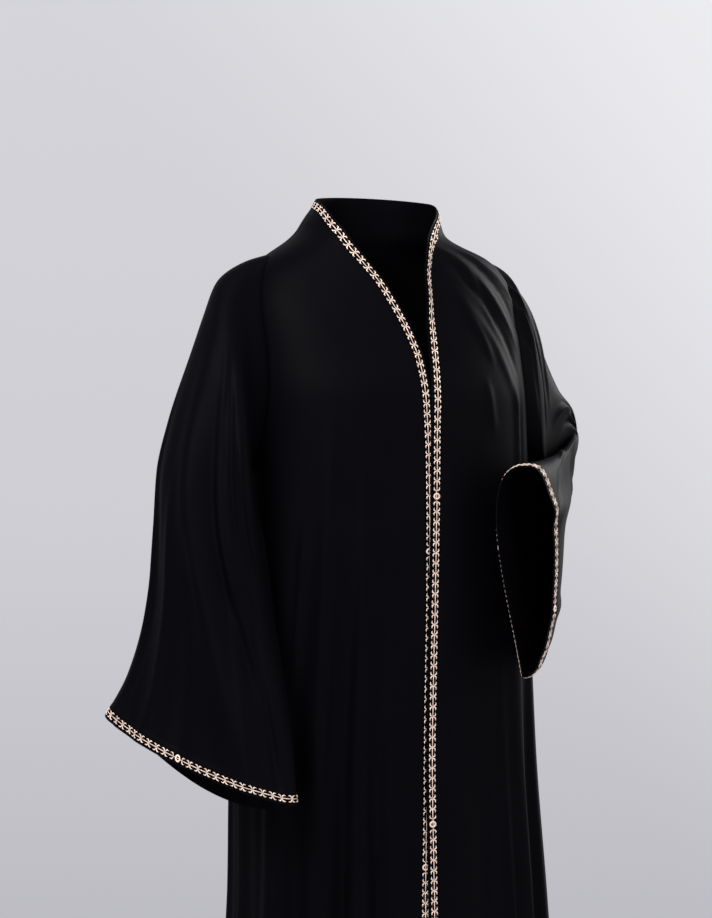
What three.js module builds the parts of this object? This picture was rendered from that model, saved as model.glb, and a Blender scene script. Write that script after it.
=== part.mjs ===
// An open abaya, worn and hollow: a back, two fronts and two wide sleeves of one thin cloth, with a
// narrow embroidered braid along both front edges, round the neck and round each cuff.
//
// Millimetres, +Z up. The wearer faces -Y, so the wearer's right is -X. The origin lies midway between
// the shoulders, at the height where they carry the cloth. The right arm hangs, the left arm is bent
// forward, and the left front laps a little over the right one.
//
// The body is one form, a stack of half-ovals. A place on it is an angle, in degrees from the middle of
// the front towards the wearer's left, and a height. A place on a sleeve is an angle round it, from the
// underarm over the front, and a section number, from the armhole to the cuff.
import * as THREE from 'three';

const CLOTH_WALL = 2;
const SEAM_GAP = 0.34;
const BRAID_INSET = 3;
const BRAID_WIDTH = 11;
const BRAID_WALL = 1;
const BRAID_CLEARANCE = 0.3;

const HEM_Z = -1430;
const UNDERARM_Z = -290;
const SHOULDER_Z = 9;
const NECK_Z = 86;
const BACK_NECK_RISE = 12;

const SIDE_ANGLE = 90;
const FRONT_ARMHOLE_REACH = 25;
const BACK_ARMHOLE_REACH = 23;
const ARMHOLE_ROUNDNESS = 0.8;

const LAP_LIFT = 4.6;
const LAP_REACH = 80;
const LAP_TOP_Z = -140;
const LAP_FULL_Z = -210;
const NECK_STAND = 12;
const NECK_STAND_REACH = 17;

const ROWS_BELOW_ARM = 17;
const ROWS_AT_ARMHOLE = 9;
const FRONT_COLUMNS = 12;
const BACK_COLUMNS = 16;
const EDGE_SHARE_AT_UNDERARM = 0.76;
const EDGE_STEP = 0.002;
const SEAM_SEARCH_STEP = 0.05;

const FOLD_FADE = 0.35;
const FOLD_RADIUS = 200;
const SLEEVE_FOLD_RADIUS = 105;
const SLEEVE_SECTION_LENGTH = 62;
const SLEEVE_SQUARENESS = { right: 0.9, left: 0.72 };
const SLEEVE_STEP = 0.02;
const CUFF_STEP = 0.1;
const ARMHOLE_BLEND = 3;
const ARMHOLE_FRONT_BOW = 66;
const ARMHOLE_BACK_BOW = 60;
const SLEEVE_FOLDS_START = 1.5;

const BLACK_CLOTH = { color: 0x0b0b0d, roughness: 0.65, metalness: 0 };
const BRAID_THREAD = { color: 0xcbb59b, roughness: 0.4, metalness: 0.2 };

const table = (columns, ...lines) =>
  lines.map((line) => Object.fromEntries(columns.map((name, i) => [name, line[i]])));

// The body's form, level by level: where its middle is across, half its width, and how far its front
// and its back stand from the middle.
const BODY_LEVELS = table(
  ['z', 'middle', 'half', 'front', 'back'],
  [-1430, 20, 285, 185, 175],
  [-1180, 19, 262, 160, 155],
  [-930, 18, 234, 145, 138],
  [-680, 11, 224, 146, 128],
  [-480, 12, 217, 150, 120],
  [-330, 11, 215, 153, 116],
  [-200, 8, 215, 152, 122],
  [-120, 4, 214, 133, 126],
  [-60, 0, 208, 114, 118],
  [-20, 0, 194, 101, 106],
  [5, 0, 172, 94, 94],
  [16, -2, 152, 92, 91],
  [31, -13, 119, 91, 88],
  [40, -12, 109, 90, 86],
  [60, -9, 100, 87, 82],
  [86, -3, 87, 80, 76],
  [100, -2, 84, 78, 74],
);

// The cut edge of each front, from the hem up the opening and round the neck to the shoulder seam.
const RIGHT_EDGE = table(
  ['angle', 'z'],
  [-0.6, -1430],
  [0.1, -911],
  [2, -715],
  [2.2, -600],
  [2.4, -417],
  [2.5, -290],
  [2.3, -200],
  [1.6, -140],
  [0.2, -114],
  [-2.1, -85],
  [-4.8, -61],
  [-9.6, -26],
  [-17, 4],
  [-33, 33],
  [-52, 58],
  [-73, 79],
  [-90, 86],
);
const LEFT_EDGE = table(
  ['angle', 'z'],
  [-1.6, -1430],
  [-1.2, -911],
  [-0.5, -715],
  [-0.2, -541],
  [0.2, -417],
  [0.9, -265],
  [1.9, -196],
  [3.9, -140],
  [4.8, -98],
  [5.9, -56],
  [6.9, -20],
  [10.5, 8],
  [19, 24],
  [31, 39],
  [45, 58],
  [66, 76],
  [90, 86],
);

// How far down its cut edge the left front stands up at the neck, as a share of its full height.
const NECK_STAND_LEVELS = table(
  ['z', 'share'],
  [-120, 0],
  [-95, 0.25],
  [-45, 1],
  [0, 1],
  [40, 0],
  [86, 0],
);

// Soft folds of the body. A fold runs from one place to another; a height below nought is a trough.
const BODY_FOLDS = table(
  ['fromAngle', 'fromZ', 'toAngle', 'toZ', 'width', 'height'],
  [-14, -150, -15, -2300, 15, 9],
  [-19, -160, -21, -2300, 15, -8],
  [-23, -120, -28, -2300, 17, 10],
  [-30, -200, -36, -2300, 20, -12],
  [-39, -150, -45, -2300, 20, 12],
  [-50, -250, -56, -2300, 22, -10],
  [-62, -300, -66, -2300, 24, 10],
  [-78, -420, -80, -2300, 26, -8],
  [24, -400, 26, -2300, 22, -5],
  [44, -110, 47, -2300, 24, 9],
  [57, -200, 58, -2300, 20, -10],
  [70, -360, 70, -2300, 22, 9],
  [84, -420, 84, -2300, 24, -8],
  [112, -330, 110, -2300, 26, 11],
  [130, -240, 127, -2300, 26, -12],
  [146, -160, 145, -2300, 24, 11],
  [163, -260, 164, -2300, 24, -9],
  [180, -330, 182, -2300, 26, 10],
  [200, -200, 200, -2300, 24, -11],
  [216, -140, 218, -2300, 26, 12],
  [234, -300, 236, -2300, 24, -9],
  [252, -380, 252, -2300, 26, 10],
);

// Sections of each sleeve, from the armhole to the cuff: the middle of its upper fold, the middle of
// its lower fold, where its front faces (0 is forwards, 90 the wearer's left), how far its front and
// back bow out, and how much more its front bows in its upper half. The armhole itself comes before the first
// row.
const SLEEVE_COLUMNS = [
  'section', 'topX', 'topY', 'topZ', 'lowX', 'lowY', 'lowZ', 'facing', 'front', 'back', 'crown',
];
const RIGHT_SLEEVE = table(
  SLEEVE_COLUMNS,
  [1, -203, 0, -4, -228, -34, -310, -4, 64, 54, 0],
  [2, -242, 0, -32, -222, -78, -336, -12, 62, 50, 0],
  [3, -262, 0, -82, -217, -96, -364, -22, 60, 46, 0],
  [4, -282, 5, -152, -214, -103, -394, -33, 58, 46, 0],
  [5, -302, 12, -224, -212, -108, -427, -42, 58, 48, 0],
  [6, -316, 20, -293, -210, -113, -462, -46, 58, 50, 0],
  [7, -319, 25, -363, -207, -120, -505, -49, 56, 50, 0],
  [8, -322, 30, -430, -203, -132, -555, -49, 54, 50, 0],
  [9, -334, 36, -505, -198, -146, -612, -49, 52, 49, 0],
  [10, -355, 43, -575, -195, -160, -678, -49, 49, 48, 0],
  [11, -386, 50, -632, -194, -172, -744, -49, 46, 46, 0],
);
const LEFT_SLEEVE = table(
  SLEEVE_COLUMNS,
  [1, 188, 0, -2, 250, 4, -308, -2, 62, 56, 0],
  [2, 216, 0, -34, 252, 10, -335, -5, 60, 54, 0],
  [3, 245, 6, -82, 258, 15, -360, -10, 56, 50, 0],
  [4, 270, 18, -132, 262, 20, -388, -18, 52, 46, 0],
  [5, 297, 29, -172, 266, 22, -414, -30, 46, 40, 0],
  [6, 329, 38, -204, 268, 22, -438, -45, 36, 26, 0],
  [7, 340, 41, -238, 266, 18, -462, -65, 28, 10, 0],
  [8, 308, -2, -258, 248, -12, -502, -88, 22, 6, 0.2],
  [9, 271, -54, -267, 230, -60, -536, -105, 20, 13, 0.4],
  [10, 228, -107, -275, 200, -112, -557, -114, 22, 23, 0.6],
  [11, 181, -162, -281, 163, -162, -569, -119, 27, 36, 0.75],
  [12, 133, -212, -284, 126, -206, -583, -121, 35, 46, 0.85],
);

// How far the front and the back of each cuff hang below the line between its folds.
const CUFF_SAG = { right: { front: 9, back: 54 }, left: { front: 0, back: 0 } };
const CUFF_SAG_SECTIONS = 4;

// Soft folds of a sleeve, from one angle and section to another.
const SLEEVE_FOLD_COLUMNS = ['fromAngle', 'fromSection', 'toAngle', 'toSection', 'width', 'height'];
const RIGHT_SLEEVE_FOLDS = table(
  SLEEVE_FOLD_COLUMNS,
  [140, 1.5, 30, 13, 22, 9],
  [110, 1.5, 10, 12, 18, -9],
  [160, 4, 120, 14, 20, -5],
  [230, 2, 240, 14, 26, -8],
  [290, 2, 280, 14, 24, 8],
);
const LEFT_SLEEVE_FOLDS = table(
  SLEEVE_FOLD_COLUMNS,
  [150, 5.4, 250, 8.2, 10, -7],
  [170, 2, 220, 7, 22, 7],
  [300, 2, 285, 10, 24, -7],
  [240, 6, 235, 14, 18, 6],
);

// ---- Numbers and curves ---------------------------------------------------------------------------

const radians = (degrees) => (degrees * Math.PI) / 180;
const mix = (a, b, share) => a + (b - a) * share;
const ease = (t) => {
  const s = Math.min(Math.max(t, 0), 1);
  return s * s * (3 - 2 * s);
};

// A smooth curve through a table's rows that never overshoots them: a monotone cubic in each column.
function smooth(rows, key) {
  const at = rows.map((row) => row[key]);
  const names = Object.keys(rows[0]).filter((name) => name !== key);
  const slopes = {};
  for (const name of names) {
    const steps = at.slice(1).map((x, i) => (rows[i + 1][name] - rows[i][name]) / (x - at[i]));
    slopes[name] = rows.map((row, i) => {
      const before = steps[Math.max(i - 1, 0)];
      const after = steps[Math.min(i, steps.length - 1)];
      return before * after <= 0 ? 0 : (2 * before * after) / (before + after);
    });
  }
  return (x) => {
    let i = 0;
    while (i < at.length - 2 && x > at[i + 1]) i += 1;
    const width = at[i + 1] - at[i];
    const t = Math.min(Math.max((x - at[i]) / width, 0), 1);
    const value = {};
    for (const name of names) {
      const [a, b] = [rows[i][name], rows[i + 1][name]];
      const [p, q] = [slopes[name][i] * width, slopes[name][i + 1] * width];
      value[name] = a + t * (p + t * (3 * (b - a) - 2 * p - q + t * (p + q - 2 * (b - a))));
    }
    return value;
  };
}

// How far the folds lift the cloth at a place, across and along in millimetres.
function foldHeight(folds, across, along) {
  let height = 0;
  for (const fold of folds) {
    const [dx, dz] = [fold.to[0] - fold.from[0], fold.to[1] - fold.from[1]];
    const [x, z] = [across - fold.from[0], along - fold.from[1]];
    const length = Math.hypot(dx, dz);
    const part = (x * dx + z * dz) / length ** 2;
    const off = (x * dz - z * dx) / length;
    const fade = ease(part / FOLD_FADE) * ease((1 - part) / FOLD_FADE);
    height += fold.height * fade * Math.exp(-((off / fold.width) ** 2));
  }
  return height;
}

// ---- The body's form ------------------------------------------------------------------------------

const levelAt = smooth(BODY_LEVELS, 'z');
const bodyFolds = BODY_FOLDS.map((fold) => ({
  ...fold,
  from: [radians(fold.fromAngle) * FOLD_RADIUS, fold.fromZ],
  to: [radians(fold.toAngle) * FOLD_RADIUS, fold.toZ],
}));

function bodyPoint(angle, z, lift = 0) {
  const { middle, half, front, back } = levelAt(z);
  const [sin, cos] = [Math.sin(radians(angle)), Math.cos(radians(angle))];
  const depth = cos > 0 ? front : back;
  const outward = new THREE.Vector3(sin / half, -cos / depth, 0).normalize();
  let folded = lift;
  for (const turn of [-360, 0, 360]) {
    folded += foldHeight(bodyFolds, radians(angle + turn) * FOLD_RADIUS, z);
  }
  return new THREE.Vector3(middle + half * sin, -depth * cos, z).addScaledVector(outward, folded);
}

// A place on the armhole, at an angle round it from the underarm. Reach is how far the seam comes
// in from the side of the body.
function armholePlace(side, round) {
  const isFront = round <= 180;
  const reach = isFront ? -FRONT_ARMHOLE_REACH : BACK_ARMHOLE_REACH;
  const swing = Math.abs(Math.sin(radians(round))) ** ARMHOLE_ROUNDNESS;
  const z = mix(UNDERARM_Z, SHOULDER_Z, (1 - Math.cos(radians(round))) / 2);
  return { angle: side * (SIDE_ANGLE + reach * swing), z };
}

// The cut edge of a front as a curve by its length, from 0 at the hem to 1 at the shoulder seam.
function edgeCurve(rows) {
  let length = 0;
  const measured = rows.map((row, i) => {
    const before = rows[Math.max(i - 1, 0)];
    length += bodyPoint(row.angle, row.z).distanceTo(bodyPoint(before.angle, before.z));
    return { ...row, length };
  });
  const curve = smooth(measured, 'length');
  return (share) => curve(share * length);
}

// The place a given distance inside the cut edge, square to it, on the side that the front lies.
function insetPlace(edge, share, distance, side) {
  const here = edge(share);
  const before = edge(Math.max(share - EDGE_STEP, 0));
  const after = edge(Math.min(share + EDGE_STEP, 1));
  const run = bodyPoint(after.angle, after.z).sub(bodyPoint(before.angle, before.z)).normalize();
  const base = bodyPoint(here.angle, here.z);
  const perDegree = bodyPoint(here.angle + 1, here.z).sub(base);
  const perMillimetre = bodyPoint(here.angle, here.z + 1).sub(base);
  const outward = perDegree.clone().cross(perMillimetre);
  const inward = run.clone().cross(outward).normalize().multiplyScalar(side * distance);
  const [a, b, c] = [perDegree.lengthSq(), perDegree.dot(perMillimetre), perMillimetre.lengthSq()];
  const [p, q] = [perDegree.dot(inward), perMillimetre.dot(inward)];
  const scale = 1 / (a * c - b * b);
  return { angle: here.angle + (p * c - q * b) * scale, z: here.z + (q * a - p * b) * scale };
}

// ---- Grids of points for each piece -----------------------------------------------------------------

const rowsInFront = ROWS_BELOW_ARM + ROWS_AT_ARMHOLE;
const edges = { [-1]: edgeCurve(RIGHT_EDGE), [1]: edgeCurve(LEFT_EDGE) };

const sideZ = (row) => mix(HEM_Z, UNDERARM_Z, row / ROWS_BELOW_ARM);
const armholeRound = (row) => (180 * (row - ROWS_BELOW_ARM)) / ROWS_AT_ARMHOLE;

function sidePlace(side, row) {
  if (row <= ROWS_BELOW_ARM) return { angle: side * SIDE_ANGLE, z: sideZ(row) };
  return armholePlace(side, armholeRound(row));
}

function edgeShare(row) {
  if (row <= ROWS_BELOW_ARM) return (EDGE_SHARE_AT_UNDERARM * row) / ROWS_BELOW_ARM;
  return mix(EDGE_SHARE_AT_UNDERARM, 1, (row - ROWS_BELOW_ARM) / ROWS_AT_ARMHOLE);
}

// The shoulder seam from the neck to the armhole: the braid's two edges, then even steps.
function shoulderSeamPlaces(side) {
  const neck = bodyPoint(side * SIDE_ANGLE, NECK_Z);
  const zAt = (distance) => {
    let z = NECK_Z;
    while (bodyPoint(side * SIDE_ANGLE, z).distanceTo(neck) < distance) z -= SEAM_SEARCH_STEP;
    return z;
  };
  const places = [NECK_Z, zAt(BRAID_INSET), zAt(BRAID_INSET + BRAID_WIDTH)];
  const start = BRAID_INSET + BRAID_WIDTH;
  const whole = bodyPoint(side * SIDE_ANGLE, SHOULDER_Z).distanceTo(neck);
  for (let column = 3; column < FRONT_COLUMNS; column += 1) {
    places.push(zAt(mix(start, whole, (column - 2) / (FRONT_COLUMNS - 2))));
  }
  places.push(SHOULDER_Z);
  return places.map((z) => ({ angle: side * SIDE_ANGLE, z }));
}

function frontPlaces(side, row) {
  if (row === rowsInFront) return shoulderSeamPlaces(side);
  const share = edgeShare(row);
  const outer = sidePlace(side, row);
  const start = insetPlace(edges[side], share, BRAID_INSET + BRAID_WIDTH, side);
  const places = [edges[side](share), insetPlace(edges[side], share, BRAID_INSET, side), start];
  for (let column = 3; column <= FRONT_COLUMNS; column += 1) {
    const part = (column - 2) / (FRONT_COLUMNS - 2);
    places.push({ angle: mix(start.angle, outer.angle, part), z: mix(start.z, outer.z, part) });
  }
  return places;
}

const neckStandAt = smooth(NECK_STAND_LEVELS, 'z');

// The left front laps over the right one, so its edge stands a little proud below the breast, and it
// stands up beside the neck.
function lapLift(side, place, edge) {
  if (side < 0) return 0;
  const down = ease((LAP_TOP_Z - place.z) / (LAP_TOP_Z - LAP_FULL_Z));
  const distance = bodyPoint(place.angle, place.z).distanceTo(bodyPoint(edge.angle, edge.z));
  const stand = NECK_STAND * neckStandAt(place.z).share * (1 - ease(distance / NECK_STAND_REACH));
  return LAP_LIFT * down * (1 - ease(distance / LAP_REACH)) + stand;
}

function frontGrid(side) {
  const grid = [];
  for (let row = 0; row <= rowsInFront; row += 1) {
    const places = frontPlaces(side, row);
    grid.push(places.map((place) => bodyPoint(place.angle, place.z, lapLift(side, place, places[0]))));
  }
  return grid;
}

// The back runs from the left side seam round to the right one. Its rows end on the side seams, the
// armholes and then the shoulder seams, and the last one is the back of the neck.
function backEnds(side) {
  const ends = [];
  for (let row = 0; row <= ROWS_BELOW_ARM; row += 1) ends.push(sidePlace(side, row));
  for (let row = ROWS_BELOW_ARM + 1; row <= rowsInFront; row += 1) {
    ends.push(armholePlace(side, 360 - armholeRound(row)));
  }
  return [...ends, ...shoulderSeamPlaces(side).reverse().slice(1)];
}

function backGrid() {
  const [leftEnds, rightEnds] = [backEnds(1), backEnds(-1)];
  return leftEnds.map((left, row) => {
    const line = [];
    for (let column = 0; column <= BACK_COLUMNS; column += 1) {
      const share = column / BACK_COLUMNS;
      const angle = mix(left.angle, 360 + rightEnds[row].angle, share);
      const z = mix(left.z, rightEnds[row].z, share);
      const rising = ease((z - UNDERARM_Z) / (NECK_Z - UNDERARM_Z));
      line.push(bodyPoint(angle, z + BACK_NECK_RISE * rising * Math.sin(Math.PI * share)));
    }
    return line;
  });
}

// ---- Sleeves ----------------------------------------------------------------------------------------

function makeSleeve(side, rows, folds) {
  const top = bodyPoint(side * SIDE_ANGLE, SHOULDER_Z);
  const low = bodyPoint(side * SIDE_ANGLE, UNDERARM_Z);
  const hand = side < 0 ? 'right' : 'left';
  const armhole = {
    section: 0, facing: 0, front: ARMHOLE_FRONT_BOW, back: ARMHOLE_BACK_BOW, crown: 0,
  };
  for (const [name, point] of [['top', top], ['low', low]]) {
    for (const axis of ['x', 'y', 'z']) armhole[name + axis.toUpperCase()] = point[axis];
  }
  const sectionAt = smooth([armhole, ...rows], 'section');
  const last = rows[rows.length - 1].section;
  const placed = folds.map((fold) => ({
    ...fold,
    from: [radians(fold.fromAngle) * SLEEVE_FOLD_RADIUS, fold.fromSection * SLEEVE_SECTION_LENGTH],
    to: [radians(fold.toAngle) * SLEEVE_FOLD_RADIUS, fold.toSection * SLEEVE_SECTION_LENGTH],
  }));

  function ring(round, section) {
    const s = sectionAt(section);
    const upper = new THREE.Vector3(s.topX, s.topY, s.topZ);
    const lower = new THREE.Vector3(s.lowX, s.lowY, s.lowZ);
    const along = upper.clone().sub(lower).normalize();
    const facing = new THREE.Vector3(Math.sin(radians(s.facing)), -Math.cos(radians(s.facing)), 0);
    facing.addScaledVector(along, -facing.dot(along)).normalize();
    const sin = Math.sin(radians(round));
    const swell = Math.sign(sin) * Math.abs(sin) ** SLEEVE_SQUARENESS[hand];
    const bow = swell * (sin > 0 ? s.front * (1 - s.crown * Math.cos(radians(round))) : s.back);
    const share = (1 - Math.cos(radians(round))) / 2;
    const sag = (sin > 0 ? CUFF_SAG[hand].front : CUFF_SAG[hand].back) * sin ** 2;
    const point = lower.lerp(upper, share).addScaledVector(facing, bow);
    point.z -= sag * ease(1 - (last - section) / CUFF_SAG_SECTIONS);
    return point;
  }

  // The plain tube, drawn to meet the armhole exactly at section 0.
  function tube(round, section) {
    const seam = armholePlace(side, round);
    const miss = bodyPoint(seam.angle, seam.z).sub(ring(round, 0));
    return ring(round, section).addScaledVector(miss, 1 - ease(section / ARMHOLE_BLEND));
  }

  return (round, section) => {
    const point = tube(round, section);
    const across = tube(round + 1, section).sub(tube(round - 1, section));
    const before = tube(round, Math.max(section - SLEEVE_STEP, 0));
    const along = tube(round, section + SLEEVE_STEP).sub(before);
    const outward = along.cross(across).normalize().multiplyScalar(side);
    const place = [radians(round) * SLEEVE_FOLD_RADIUS, section * SLEEVE_SECTION_LENGTH];
    const height = foldHeight(placed, ...place) * ease(section / SLEEVE_FOLDS_START);
    return point.addScaledVector(outward, height);
  };
}

function sleeveGrid(side, rows, folds) {
  const point = makeSleeve(side, rows, folds);
  const last = rows[rows.length - 1].section;
  const columns = 2 * ROWS_AT_ARMHOLE;
  const beforeCuff = (round, distance) => {
    const reach = point(round, last).distanceTo(point(round, last - CUFF_STEP)) / CUFF_STEP;
    return point(round, last - distance / reach);
  };
  const rings = [];
  const rounds = Array.from({ length: columns }, (_, i) => (360 * i) / columns);
  for (let section = 0; section < last; section += 1) {
    rings.push(rounds.map((round) => point(round, section)));
  }
  rings.push(rounds.map((round) => beforeCuff(round, BRAID_INSET + BRAID_WIDTH)));
  rings.push(rounds.map((round) => beforeCuff(round, BRAID_INSET)));
  rings.push(rounds.map((round) => point(round, last)));
  return rings;
}

// ---- Walls ------------------------------------------------------------------------------------------

const key = (point) => point.toArray().map((value) => Math.round(value * 100)).join(' ');

// Each cloth piece: its points, whether it closes on itself, whether its rows turn the other way, and
// which of its sides are sewn to a neighbour.
const cloth = {
  back: { grid: backGrid(), round: false, flip: false, sewn: ['left', 'right'] },
  front_right: { grid: frontGrid(-1), round: false, flip: true, sewn: ['right', 'top'] },
  front_left: { grid: frontGrid(1), round: false, flip: false, sewn: ['right', 'top'] },
  sleeve_right: {
    grid: sleeveGrid(-1, RIGHT_SLEEVE, RIGHT_SLEEVE_FOLDS), round: true, flip: false, sewn: ['bottom'],
  },
  sleeve_left: {
    grid: sleeveGrid(1, LEFT_SLEEVE, LEFT_SLEEVE_FOLDS), round: true, flip: true, sewn: ['bottom'],
  },
};

function cells(piece) {
  const [rows, columns] = [piece.grid.length, piece.grid[0].length];
  const list = [];
  for (let row = 0; row < rows - 1; row += 1) {
    for (let column = 0; column < (piece.round ? columns : columns - 1); column += 1) {
      list.push([[row, column], [row, (column + 1) % columns], [row + 1, (column + 1) % columns],
        [row + 1, column]]);
    }
  }
  return list;
}

// Outward directions at each point: the piece's own, and the one shared by the pieces that meet there.
const facing = new Map();
const addTo = (map, name, normal) => map.set(name, (map.get(name) ?? new THREE.Vector3()).add(normal));
for (const piece of Object.values(cloth)) {
  piece.own = new Map();
  for (const cell of cells(piece)) {
    const [a, b, c, d] = cell.map(([row, column]) => piece.grid[row][column]);
    const normal = c.clone().sub(a).cross(d.clone().sub(b)).multiplyScalar(piece.flip ? -1 : 1);
    for (const corner of [a, b, c, d]) addTo(piece.own, key(corner), normal);
  }
  for (const [name, sum] of piece.own) addTo(facing, name, sum.normalize());
}
for (const sum of facing.values()) sum.normalize();

// How far a point on a sewn side is drawn back from the seam, square to it and along the cloth.
function seamStep(piece, row, column) {
  const { grid, sewn } = piece;
  const [lastRow, lastColumn] = [grid.length - 1, grid[0].length - 1];
  const onSide = {
    left: column === 0, right: column === lastColumn, bottom: row === 0, top: row === lastRow,
  };
  const rowAt = (index) => Math.min(Math.max(index, 0), lastRow);
  const columnAt = (index) => (piece.round
    ? (index + lastColumn + 1) % (lastColumn + 1)
    : Math.min(Math.max(index, 0), lastColumn));
  const step = new THREE.Vector3();
  for (const side of sewn.filter((name) => onSide[name])) {
    const upright = side === 'left' || side === 'right';
    const next = upright ? grid[rowAt(row + 1)][column] : grid[row][columnAt(column + 1)];
    const before = upright ? grid[rowAt(row - 1)][column] : grid[row][columnAt(column - 1)];
    const square = next.clone().sub(before).cross(piece.own.get(key(grid[row][column])));
    const sign = (side === 'left' || side === 'top' ? 1 : -1) * (piece.flip ? -1 : 1);
    step.add(square.setLength(sign * SEAM_GAP / 2));
  }
  return step;
}

// A closed solid between an outer and an inner skin of the same grid. Each rim quad is split from its
// lower outer corner, so that two pieces sewn together have rims of the same shape.
function closedSolid(outer, inner, { round, flip }) {
  const [rows, columns] = [outer.length, outer[0].length];
  const skin = rows * columns;
  const points = [...outer.flat(), ...inner.flat()];
  const triangles = [];
  const quad = (a, b, c, d, turned = false) => {
    triangles.push(...(flip === turned ? [a, b, c, a, c, d] : [a, c, b, a, d, c]));
  };
  const at = (row, column) => row * columns + (column % columns);
  const rim = (here, next, turned) => {
    const loop = points[here].z < points[next].z
      ? [here, next, next + skin, here + skin]
      : [next, next + skin, here + skin, here];
    quad(...loop, turned);
  };
  const across = round ? columns : columns - 1;
  for (let row = 0; row < rows - 1; row += 1) {
    for (let column = 0; column < across; column += 1) {
      const corners = [
        at(row, column), at(row, column + 1), at(row + 1, column + 1), at(row + 1, column),
      ];
      quad(...corners);
      quad(...corners.map((corner) => corner + skin), true);
    }
  }
  for (let column = 0; column < across; column += 1) {
    rim(at(0, column), at(0, column + 1), true);
    rim(at(rows - 1, column), at(rows - 1, column + 1), false);
  }
  if (!round) {
    for (let row = 0; row < rows - 1; row += 1) {
      rim(at(row, 0), at(row + 1, 0), false);
      rim(at(row, columns - 1), at(row + 1, columns - 1), true);
    }
  }
  const geometry = new THREE.BufferGeometry();
  geometry.setAttribute('position', new THREE.Float32BufferAttribute(
    points.flatMap((point) => point.toArray()), 3));
  geometry.setIndex(triangles);
  geometry.computeVertexNormals();
  return geometry;
}

const moved = (grid, move) => grid.map((line, row) => line.map((point, column) => move(point, row, column)));

function clothWall(piece) {
  const outer = moved(piece.grid, (point, row, column) => point.clone().add(seamStep(piece, row, column)));
  const inner = moved(outer, (point, row, column) =>
    point.clone().addScaledVector(facing.get(key(piece.grid[row][column])), -CLOTH_WALL));
  return closedSolid(outer, inner, piece);
}

// A braid lies on a strip of its panel's own points: pick gives the strip, two points for each row.
function braidStrip(pieceName, pick, { round = false, flip = false, sewn = [] }) {
  const piece = cloth[pieceName];
  const strip = { grid: pick(piece.grid), sewn, round, flip, own: piece.own };
  const rise = (distance) => moved(strip.grid, (point, row, column) => point.clone()
    .addScaledVector(facing.get(key(point)), distance)
    .add(seamStep(strip, row, column)));
  return closedSolid(rise(BRAID_CLEARANCE + BRAID_WALL), rise(BRAID_CLEARANCE), { round, flip });
}

const alongEdge = (grid) => grid.map((line) => [line[1], line[2]]);
const lastRows = (grid) => [grid[grid.length - 3], grid[grid.length - 2]];

const braids = {
  braid_front_right: braidStrip('front_right', alongEdge, { flip: true, sewn: ['top'] }),
  braid_front_left: braidStrip('front_left', alongEdge, { sewn: ['top'] }),
  braid_neck_back: braidStrip('back', lastRows, { sewn: ['left', 'right'] }),
  braid_cuff_right: braidStrip('sleeve_right', lastRows, { round: true }),
  braid_cuff_left: braidStrip('sleeve_left', lastRows, { round: true, flip: true }),
};

// ---- The abaya --------------------------------------------------------------------------------------

const abaya = new THREE.Group();

function addPiece(name, geometry, look) {
  const mesh = new THREE.Mesh(geometry, new THREE.MeshStandardMaterial(look));
  mesh.name = name;
  abaya.add(mesh);
}

for (const [name, piece] of Object.entries(cloth)) addPiece(name, clothWall(piece), BLACK_CLOTH);
for (const [name, geometry] of Object.entries(braids)) addPiece(name, geometry, BRAID_THREAD);

export default abaya;
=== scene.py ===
import math

import bpy
import numpy as np
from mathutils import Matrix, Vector


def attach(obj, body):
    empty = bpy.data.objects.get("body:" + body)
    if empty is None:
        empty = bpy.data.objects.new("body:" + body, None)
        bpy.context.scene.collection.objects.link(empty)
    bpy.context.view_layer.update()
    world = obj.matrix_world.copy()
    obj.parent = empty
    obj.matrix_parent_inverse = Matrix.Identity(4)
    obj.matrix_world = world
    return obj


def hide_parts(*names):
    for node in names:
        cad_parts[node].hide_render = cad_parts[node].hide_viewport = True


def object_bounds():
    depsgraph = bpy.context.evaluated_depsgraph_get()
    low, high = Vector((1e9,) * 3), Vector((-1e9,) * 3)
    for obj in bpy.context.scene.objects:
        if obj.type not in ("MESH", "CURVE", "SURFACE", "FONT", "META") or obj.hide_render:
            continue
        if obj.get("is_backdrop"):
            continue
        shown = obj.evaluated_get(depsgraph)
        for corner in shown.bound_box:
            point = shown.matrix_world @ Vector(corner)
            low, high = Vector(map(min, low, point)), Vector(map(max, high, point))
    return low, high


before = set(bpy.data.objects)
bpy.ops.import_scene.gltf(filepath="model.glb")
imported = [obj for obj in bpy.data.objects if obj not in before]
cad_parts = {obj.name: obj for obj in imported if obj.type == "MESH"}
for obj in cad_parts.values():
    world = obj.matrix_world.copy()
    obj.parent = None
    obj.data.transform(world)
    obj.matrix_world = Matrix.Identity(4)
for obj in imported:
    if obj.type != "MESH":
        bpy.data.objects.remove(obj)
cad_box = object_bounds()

# An open black abaya, worn and hollow: a back, two fronts and two wide sleeves of crepe, each a thin
# shell with its folds, and a narrow line of embroidery along the front edges, the neck and the cuffs.
#
# The pattern is worked in millimetres, +Z up, and becomes metres when a mesh is made. The wearer faces
# -Y. A place on the body is an angle from the middle of the front, towards the wearer's left, and a
# height. A place on a sleeve is an angle round it, from the underarm over the front, and a section.

METRE = 0.001

# ---- Sizes ------------------------------------------------------------------------------------------

CLOTH_THICKNESS = 1.5
HEM_Z = -1430
UNDERARM_Z = -290
SHOULDER_Z = 9
NECK_Z = 86
BACK_NECK_RISE = 12
SIDE_ANGLE = 90
FRONT_ARMHOLE_REACH = 25
BACK_ARMHOLE_REACH = 23
ARMHOLE_ROUNDNESS = 0.8
EDGE_SHARE_AT_UNDERARM = 0.76
SEAM_TOP_BLEND = 0.03
LEVEL_ROUNDING = 8
EDGE_STEP = 0.002
SEAM_SAMPLES = 400

LAP_LIFT = 4.6
LAP_REACH = 80
LAP_TOP_Z = -140
LAP_FULL_Z = -210
NECK_STAND = 12
NECK_STAND_REACH = 17

ROWS_BELOW_ARM = 17
ROWS_AT_ARMHOLE = 9
SHOULDER_ROWS = 12

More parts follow.
